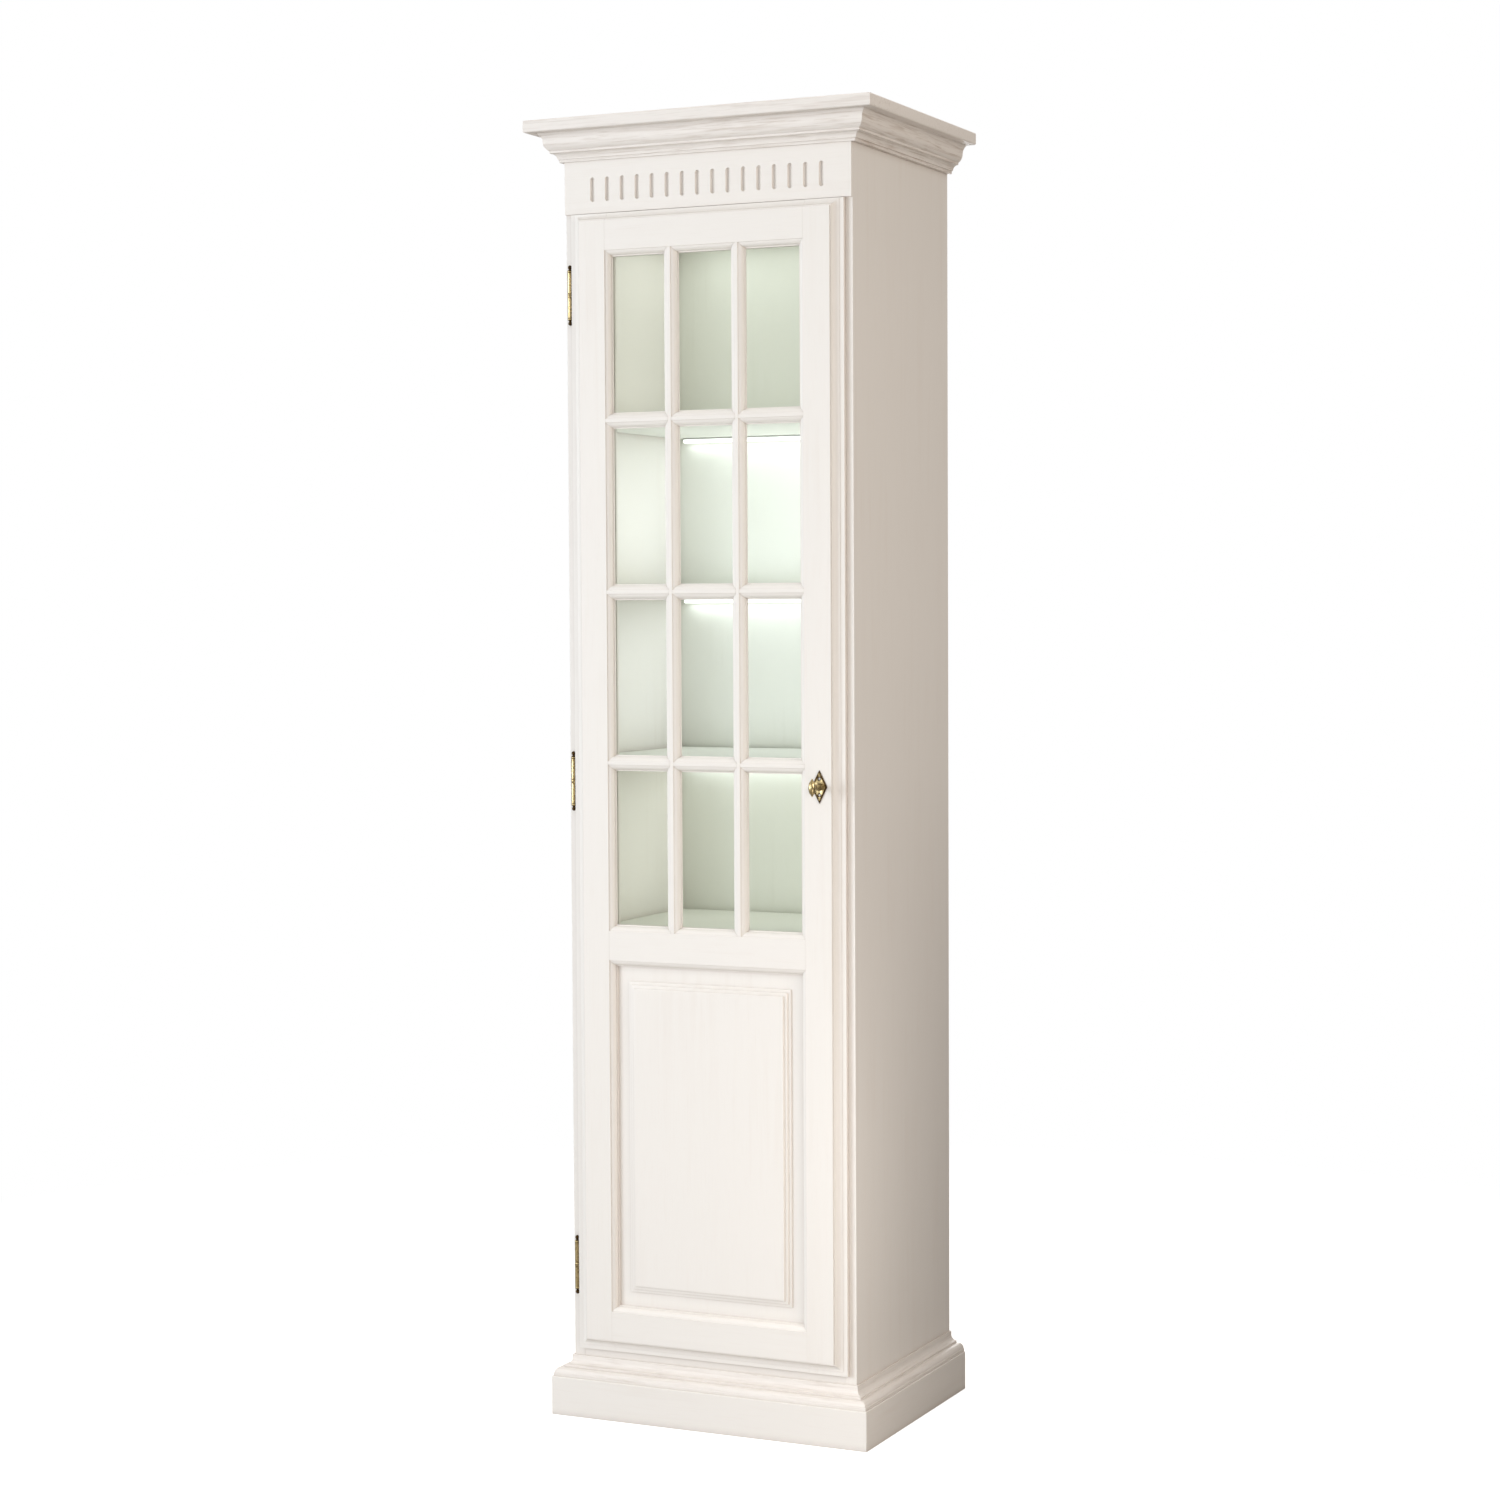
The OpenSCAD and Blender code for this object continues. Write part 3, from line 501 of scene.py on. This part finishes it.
def turned_knob():
    """An olive with tipped ends on a waisted neck, and the spindle that runs through the door."""
    lo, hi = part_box("turn_knob")
    reach = (hi.y - lo.y) / MM
    centre = Vector((stem[0], lo.y + OLIVE_R * MM, stem[2]))
    work = bmesh.new()
    half = (hi.z - lo.z) / MM / 2
    tip = [(-half, 0), (-half + 0.2, 0.7), (-half + 1.0, 1.15), (-half + 1.8, 1.0),
           (-half + 2.2, 1.9), (-half + 2.8, 2.2), (-half + 3.4, 1.9)]
    olive = [(z, OLIVE_R - z * z / OLIVE_TAPER) for z in (-9.5, -8, -6, -4, -2, 0, 2, 4, 6, 8, 9.5)]
    other_tip = [(-z, r) for z, r in reversed(tip)]
    lathe(work, tip + olive + other_tip, centre, (0, 0, 1))
    end = reach - OLIVE_R
    collar = end - (hi.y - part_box("knob_backplate")[0].y) / MM
    neck = [(2, 0), (2, 3.4), (6, 3.3), (8, 2.7), (11, 2.5), (collar - 9, 3.0),
            (collar - 7.5, 3.9), (collar - 6.6, 4.6), (collar - 5.6, 4.8), (collar - 4.6, 4.6),
            (collar - 4.2, 4.1), (collar - 3.6, 4.5), (collar - 1.6, 4.7), (collar - 1.0, 4.3),
            (collar - 1.0, 3.45), (end - 0.5, 3.45), (end, 3.0), (end, 0)]
    groove = (collar - 4.8, collar - 3.8)
    lathe(work, neck, centre, (0, 1, 0), *groove)
    place_piece(brass_mesh("turned_knob", work), "turned_knob", "turn_knob")


turned_knob()


# ---------- Knob backplate, its pins and the strike screws ----------

def finished_mesh(piece):
    """The mesh of an object with its curve filled or its modifiers applied."""
    graph = bpy.context.evaluated_depsgraph_get()
    return bpy.data.meshes.new_from_object(piece.evaluated_get(graph))


def flat_plate(loops, thickness, bevel, name):
    """A plate cut from closed outlines, in mm: the first is its edge, the others are holes."""
    curve = bpy.data.curves.new(name, "CURVE")
    curve.dimensions = "2D"
    curve.fill_mode = "BOTH"
    curve.extrude = (thickness / 2 - bevel) * MM
    curve.bevel_depth = bevel * MM
    curve.bevel_resolution = 2
    curve.offset = -bevel * MM
    for loop in loops:
        line = curve.splines.new("POLY")
        line.points.add(len(loop) - 1)
        for point, (x, z) in zip(line.points, loop):
            point.co = (x * MM, z * MM, 0, 1)
        line.use_cyclic_u = True
    holder = bpy.data.objects.new(name, curve)
    scene.collection.objects.link(holder)
    mesh = finished_mesh(holder)
    bpy.data.objects.remove(holder)
    bpy.data.curves.remove(curve)
    return mesh


def circle(radius, z=0.0, steps=32):
    angles = [math.tau * step / steps for step in range(steps)]
    return [(radius * math.cos(angle), z + radius * math.sin(angle)) for angle in angles]


def lozenge(w, h):
    return [(0, -h / 2), (w / 2, 0), (0, h / 2), (-w / 2, 0)]


def add_plate(work, loops, thickness, bevel, centre, front_y):
    """Stand a flat plate upright in work, with its face at front_y."""
    mesh = flat_plate(loops, thickness, bevel, "plate_outline")
    turn = Matrix.Rotation(math.radians(90), 4, "X")
    move = Matrix.Translation((centre.x, front_y + thickness / 2 * MM, centre.z))
    mesh.transform(move @ turn)
    before = len(work.faces)
    work.from_mesh(mesh)
    bpy.data.meshes.remove(mesh)
    work.faces.ensure_lookup_table()
    return work.faces[before:]


# The backplate, in mm
PIERCED_R = 2.2
PIERCED_Z = 12.5
PIN_HOLE_R = 0.75
STEM_HOLE_R = 3.55
PLATE_T = 1.6
BEAD = 1.1


def backplate():
    """A pierced lozenge with a raised rim, beads and a turned hub, and the pins that hold it."""
    lo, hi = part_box("knob_backplate")
    centre = Vector((stem[0], 0, stem[2]))
    face_y = hi.y - PLATE_T * MM
    wide, tall = (hi.x - lo.x) / MM, (hi.z - lo.z) / MM
    pin_z = tall / 2 - 6
    holes = [circle(PIERCED_R, side * PIERCED_Z) for side in (-1, 1)]
    pins = [circle(PIN_HOLE_R, side * pin_z, 16) for side in (-1, 1)]
    work = bmesh.new()
    field = [lozenge(wide - 0.4, tall - 0.8), circle(STEM_HOLE_R), *holes, *pins]
    add_plate(work, field, 1.1, 0.15, centre, face_y + 0.5 * MM)
    rim = [lozenge(wide, tall), lozenge(wide - 5.5, tall - 10.8)]
    dark = add_plate(work, rim, 1.5, 0.45, centre, face_y)
    for side in (-1, 1):
        ring = [circle(PIERCED_R + BEAD, side * PIERCED_Z), circle(PIERCED_R, side * PIERCED_Z)]
        dark += add_plate(work, ring, 1.4, 0.4, centre, face_y + 0.1 * MM)
    for face in dark:
        face.material_index = 1
    for face in work.faces:
        face.smooth = True
    bmesh.ops.remove_doubles(work, verts=work.verts, dist=MERGE)
    hub = [(0.2, STEM_HOLE_R), (2.5, STEM_HOLE_R), (2.8, 3.9), (2.8, 4.4), (2.5, 4.8),
           (2.2, 4.9), (1.9, 4.8), (1.9, 5.2), (1.7, 5.8), (1.3, 6.0), (0.2, 6.0),
           (0.2, STEM_HOLE_R)]
    lathe(work, hub, Vector((centre.x, hi.y, centre.z)), (0, -1, 0), 1.8, 2.3)
    bmesh.ops.remove_doubles(work, verts=work.verts, dist=MERGE)
    place_piece(brass_mesh("cast_backplate", work), "cast_backplate", "knob_backplate")

    work = bmesh.new()
    for side in (-1, 1):
        pin = [(-8, 0), (-7.4, 0.5), (-6, 0.7), (PLATE_T, 0.7), (PLATE_T, 1.3),
               (PLATE_T + 0.3, 1.5), (PLATE_T + 0.6, 1.2), (PLATE_T + 0.85, 0.6),
               (PLATE_T + 0.9, 0)]
        at = Vector((centre.x, hi.y, centre.z + side * pin_z * MM))
        lathe(work, pin, at, (0, -1, 0))
    place_piece(brass_mesh("domed_pins", work), "domed_pins", "backplate_pins")


backplate()


def slotted_screws():
    """Two pan-head screws with a cut slot, driven sideways through the strike plate."""
    lo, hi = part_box("strike_screws")
    head, head_r, shank_r, root_r = 1.2, 2.8, 1.4, 1.0
    middle_y = (lo.y + hi.y) / 2
    shank = (hi.x - lo.x) / MM - head
    work = bmesh.new()
    cutter = bmesh.new()
    for z in (lo.z + head_r * MM, hi.z - head_r * MM):
        at = Vector((lo.x + head * MM, middle_y, z))
        profile = [(-head, 0), (-head, 1.6), (-head + 0.25, 2.3), (-0.35, head_r), (0, head_r),
                   (0, shank_r), (3, shank_r)]
        ridge = 3.0
        while ridge + THREAD_PITCH < shank - 1.5:
            profile += [(ridge + THREAD_PITCH / 2, root_r), (ridge + THREAD_PITCH, shank_r)]
            ridge += THREAD_PITCH
        profile += [(shank, 0.3), (shank, 0)]
        lathe(work, profile, at, (1, 0, 0))
        slot_at = Matrix.Translation((lo.x + 0.25 * MM, middle_y, z))
        slot = slot_at @ Matrix.Diagonal((0.9 * MM, 8 * MM, 0.8 * MM, 1))
        bmesh.ops.create_cube(cutter, size=1.0, matrix=slot)
    mesh = brass_mesh("slotted_screws", work)
    mesh.materials.clear()
    mesh.materials.append(steel)
    piece = place_piece(mesh, "slotted_screws", "strike_screws")
    tool_mesh = bpy.data.meshes.new("slot_tool")
    cutter.to_mesh(tool_mesh)
    cutter.free()
    tool = bpy.data.objects.new("slot_tool", tool_mesh)
    scene.collection.objects.link(tool)
    cut = piece.modifiers.new("slot", "BOOLEAN")
    cut.operation = "DIFFERENCE"
    cut.object = tool
    bpy.context.view_layer.update()
    made = finished_mesh(piece)
    piece.modifiers.clear()
    piece.data = made
    bpy.data.objects.remove(tool)
    bpy.data.meshes.remove(tool_mesh)


slotted_screws()


# ---------- Lights in the case ----------

def area_light(name, place, target, size, power, colour, size_y=None):
    """A soft light that shines on things and that the camera does not see."""
    data = bpy.data.lights.new(name, "AREA")
    data.energy = power
    data.color = colour
    data.size = size
    if size_y:
        data.shape = "RECTANGLE"
        data.size_y = size_y
    lamp = bpy.data.objects.new(name, data)
    lamp.location = place
    aim = Vector(target) - Vector(place)
    lamp.rotation_euler = aim.to_track_quat("-Z", "Y").to_euler()
    lamp.visible_camera = False
    scene.collection.objects.link(lamp)


COOL = (0.965, 1.0, 1.0)
COOLER = (0.95, 1.0, 1.1)
BAR_POWER = {"top": 0.04, "middle": 0.05, "bottom": 0.045}
BAR_DROP = 0.001
for level, power in BAR_POWER.items():
    lo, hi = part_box(f"diffuser_{level}")
    place = Vector(((lo.x + hi.x) / 2, (lo.y + hi.y) / 2, lo.z - BAR_DROP))
    area_light(f"bar_{level}", place, place + Vector((0, 0, -1)), hi.x - lo.x, power, COOLER,
               size_y=hi.y - lo.y)

# What the pale walls of a bay throw back and forth: one soft light down from the piece that
# covers the bay and one up from the piece under it. The columns are those two pieces, the place
# of both lights across the case, the power down and up, and the colour.
BAYS = (
    ("top_board", "shelf_top", -0.04, 0.29, 0.15, COOL),
    ("shelf_top", "shelf_middle", 0.0, 0.21, 0.38, COOLER),
    ("shelf_middle", "shelf_bottom", -0.01, 0.22, 0.21, COOLER),
    ("shelf_bottom", "middle_board", -0.01, 0.18, 0.155, COOL),
)
BAY_Y = 0.05
BAY_WIDE, BAY_DEEP = 0.30, 0.22
BAY_LEAN = 0.05    # towards the back, for each unit up or down
UNDER_COVER, OVER_BASE = 0.012, 0.004
for cover, base, bay_x, down, up, colour in BAYS:
    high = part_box(cover)[0].z - UNDER_COVER
    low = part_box(base)[1].z + OVER_BASE
    for height, aim, power in ((high, -1, down), (low, 1, up)):
        place = Vector((bay_x, BAY_Y, height))
        area_light(f"bay_{cover}_{aim}", place, place + Vector((0, BAY_LEAN, aim)), BAY_WIDE, power,
                   colour, size_y=BAY_DEEP)

SPOT_DROP = 0.003
SPOT_AIM = Vector((-0.3, 0.4, -0.83))
SPOT_SIZE, SPOT_POWER = 0.05, 0.02
lo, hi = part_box("spot_lens")
place = Vector(((lo.x + hi.x) / 2, (lo.y + hi.y) / 2, lo.z - SPOT_DROP))
area_light("spot", place, place + SPOT_AIM, SPOT_SIZE, SPOT_POWER, COOL)


# ---------- Studio ----------

# Name, place, target, size, power, colour. The key and the front light stand where the panes
# don't mirror them to the camera.
STUDIO_LIGHTS = (
    ("key", (-5.0, -4.9, 1.8), (0, -0.2, 1.0), 3.1, 270, (0.92, 1.0, 1.08)),
    ("front", (-0.3, -5.0, 1.5), (0, -0.2, 1.0), 1.6, 27, (0.92, 1.0, 1.08)),
    ("fill", (2.6, -1.2, 1.9), (0.25, 0, 1.3), 1.0, 26, (1.0, 0.93, 0.855)),
    ("low_fill", (0.85, -1.0, 0.5), (0.25, -0.1, 0.2), 0.5, 1.8, (1.0, 0.95, 0.9)),
    ("side_fill", (0.75, -0.42, 0.40), (0.27, -0.12, 0.3), 0.3, 0.7, (1.0, 0.95, 0.9)),
    ("above", (0, 0.1, 4.5), (0, 0.1, 2), 2.0, 26, (1.0, 0.98, 0.96)),
    ("behind", (-1.3, 4.0, 1.9), (0, 0.2, 1.0), 1.8, 65, (0.97, 0.98, 1.0)),
)
for light in STUDIO_LIGHTS:
    area_light(*light)

WHITE = (1, 1, 1, 1)
AMBIENT = (1.0, 0.935, 0.865, 1)
AMBIENT_POWER = 0.42

# A warm surround lights the cabinet, and the camera sees plain white behind it
world = bpy.data.worlds.new("studio")
scene.world = world
world.use_nodes = True
t = Tree(world.node_tree)
seen = t.node("ShaderNodeLightPath").outputs["Is Camera Ray"]
around = t.node("ShaderNodeBackground", {"Color": AMBIENT, "Strength": AMBIENT_POWER})
backdrop = t.node("ShaderNodeBackground", {"Color": WHITE, "Strength": 1.0})
both = t.node("ShaderNodeMixShader", {0: seen, 1: around.outputs[0], 2: backdrop.outputs[0]})
t.node("ShaderNodeOutputWorld", {"Surface": both.outputs[0]})


def stage_piece(mesh, mat):
    """A floor or card that belongs to the studio."""
    mesh.materials.append(mat)
    made = bpy.data.objects.new(mesh.name, mesh)
    scene.collection.objects.link(made)
    return made


FLAG_X = 1.4
FLAG_NEAR, FLAG_FAR, FLAG_TOP = -0.55, 1.6, 1.2


def studio_flag():
    """A dark card, unseen by the camera, that shades the lower back of the right side."""
    mesh = bpy.data.meshes.new("studio_flag")
    corners = [(FLAG_X, FLAG_NEAR, 0), (FLAG_X, FLAG_FAR, 0), (FLAG_X, FLAG_FAR, FLAG_TOP),
               (FLAG_X, FLAG_NEAR, FLAG_TOP)]
    mesh.from_pydata(corners, [], [(0, 1, 2, 3)])
    mat, t = new_material("black_card")
    coords = t.node("ShaderNodeTexCoord").outputs["Object"]
    felt = t.mix(t.noise(coords, 300, 2, 0.5), (0.03, 0.03, 0.03, 1), (0.06, 0.058, 0.055, 1))
    t.surface(t.node("ShaderNodeBsdfDiffuse", {"Color": felt}))
    stage_piece(mesh, mat).visible_camera = False


studio_flag()

FLOOR_RADIUS = 30.0
FLOOR_GLOW = 0.75
FLOOR_FADE = (0.5, 2.4)    # how far from the cabinet the floor turns into plain white


def studio_floor():
    """A pale floor. To the camera it melts into the white background, apart from soft shadows."""
    mesh = bpy.data.meshes.new("studio_floor")
    work = bmesh.new()
    bmesh.ops.create_circle(work, cap_ends=True, radius=FLOOR_RADIUS, segments=96)
    work.to_mesh(mesh)
    work.free()
    mat, t = new_material("pale_floor")
    coords = t.node("ShaderNodeTexCoord").outputs["Object"]
    mottled = t.mix(t.noise(coords, 3, 3, 0.5), (0.79, 0.785, 0.78, 1), (0.81, 0.805, 0.80, 1))
    pale = t.node("ShaderNodeBsdfDiffuse", {"Color": mottled})
    glow = t.node("ShaderNodeEmission", {"Color": WHITE, "Strength": FLOOR_GLOW})
    near = t.node("ShaderNodeAddShader", {0: pale.outputs[0], 1: glow.outputs[0]})
    away = t.node("ShaderNodeVectorMath", {0: coords}, operation="LENGTH").outputs["Value"]
    white = t.node("ShaderNodeEmission", {"Color": WHITE, "Strength": 1.0})
    to_camera = t.node("ShaderNodeMixShader", {
        0: t.ramp(away, *FLOOR_FADE), 1: near.outputs[0], 2: white.outputs[0]})
    bounce = t.node("ShaderNodeBsdfDiffuse", {"Color": (0.40, 0.375, 0.35, 1)})
    direct = t.node("ShaderNodeLightPath").outputs["Is Camera Ray"]
    t.surface(t.node("ShaderNodeMixShader", {
        0: direct, 1: bounce.outputs[0], 2: to_camera.outputs[0]}))
    stage_piece(mesh, mat)


studio_floor()

# ---------- Camera, fitted to the photograph's perspective ----------

YAW, PITCH, ROLL = (math.radians(angle) for angle in (25.137, -2.648, -0.287))
camera_data = bpy.data.cameras.new("camera")
camera_data.sensor_width = 36
camera_data.lens = 72.95
camera_data.clip_end = 60
camera = bpy.data.objects.new("camera", camera_data)
camera.location = (2.061, -4.414, 1.284)
look = Euler((math.pi / 2 + PITCH, 0, YAW), "XYZ").to_matrix()
roll = Euler((0, 0, ROLL), "XYZ").to_matrix()
camera.rotation_mode = "XYZ"
camera.rotation_euler = (look @ roll).to_euler("XYZ")
scene.collection.objects.link(camera)
scene.camera = camera
scene.view_settings.view_transform = "Standard"
